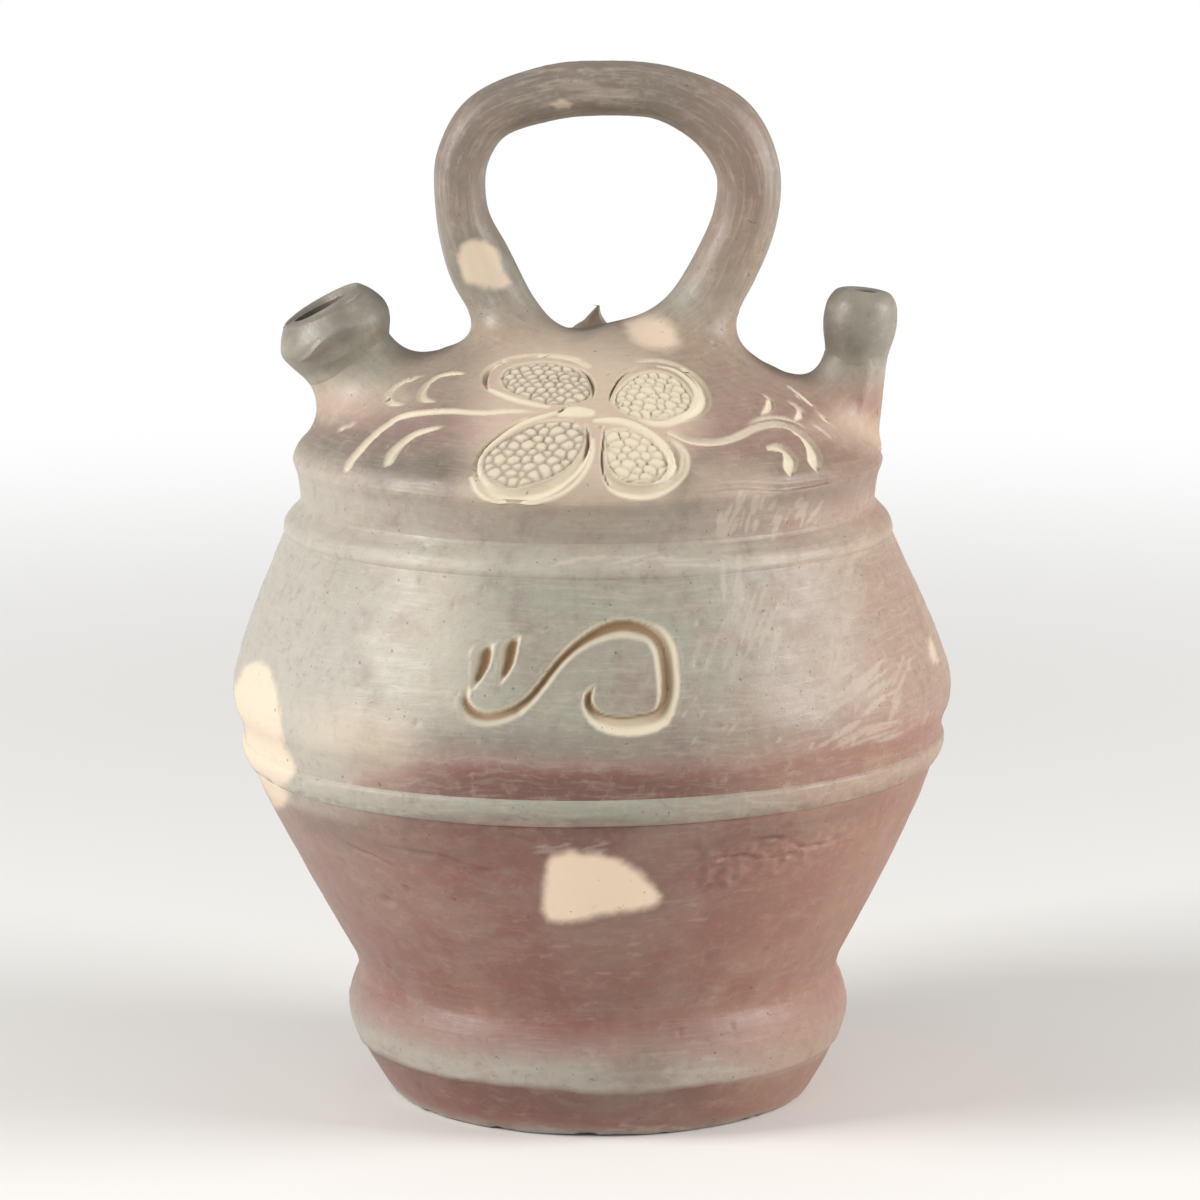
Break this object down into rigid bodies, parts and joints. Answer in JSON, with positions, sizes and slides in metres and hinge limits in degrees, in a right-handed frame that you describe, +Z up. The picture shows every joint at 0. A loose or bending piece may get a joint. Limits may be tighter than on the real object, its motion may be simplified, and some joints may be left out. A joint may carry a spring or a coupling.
{
  "type": "water jug",
  "caption": "Smoked-clay water jug with a ring handle on the crown, a wide filling mouth, a narrow bulbous pouring spout and carved floral ornament.",
  "frame": {"origin": "centre of the base, on the surface that the jug stands on", "axes": "+Z up along the jug's axis; +X towards the pouring spout, -X towards the filling mouth; -Y is the carved front"},
  "size_m": [0.1988, 0.1988, 0.2858],
  "materials": {
    "lower_body": "matt smoked clay, burnished in places",
    "belly_cordon": "matt smoked clay, burnished in places",
    "upper_body": "matt smoked clay, burnished in places",
    "shoulder_cordon": "matt smoked clay, burnished in places",
    "collar_band": "matt smoked clay, burnished in places",
    "dome": "matt smoked clay, burnished in places",
    "handle": "matt smoked clay, burnished in places",
    "handle_root_mouth_side": "matt smoked clay, burnished in places",
    "handle_root_spout_side": "matt smoked clay, burnished in places",
    "mouth_neck": "matt smoked clay, burnished in places",
    "mouth_rim": "matt smoked clay, burnished in places",
    "mouth_coil": "matt smoked clay, burnished in places",
    "spout_neck": "matt smoked clay, burnished in places",
    "spout_tip": "matt smoked clay, burnished in places",
    "spout_coil": "matt smoked clay, burnished in places",
    "crown_leaf": "matt smoked clay, burnished in places"
  },
  "bodies": {
    "root": {"lower_body": "lower_body", "belly_cordon": "belly_cordon", "upper_body": "upper_body", "shoulder_cordon": "shoulder_cordon", "collar_band": "collar_band", "dome": "dome", "handle": "handle", "handle_root_mouth_side": "handle_root_mouth_side", "handle_root_spout_side": "handle_root_spout_side", "mouth_neck": "mouth_neck", "mouth_rim": "mouth_rim", "mouth_coil": "mouth_coil", "spout_neck": "spout_neck", "spout_tip": "spout_tip", "spout_coil": "spout_coil", "crown_leaf": "crown_leaf"}
  },
  "joints": []
}
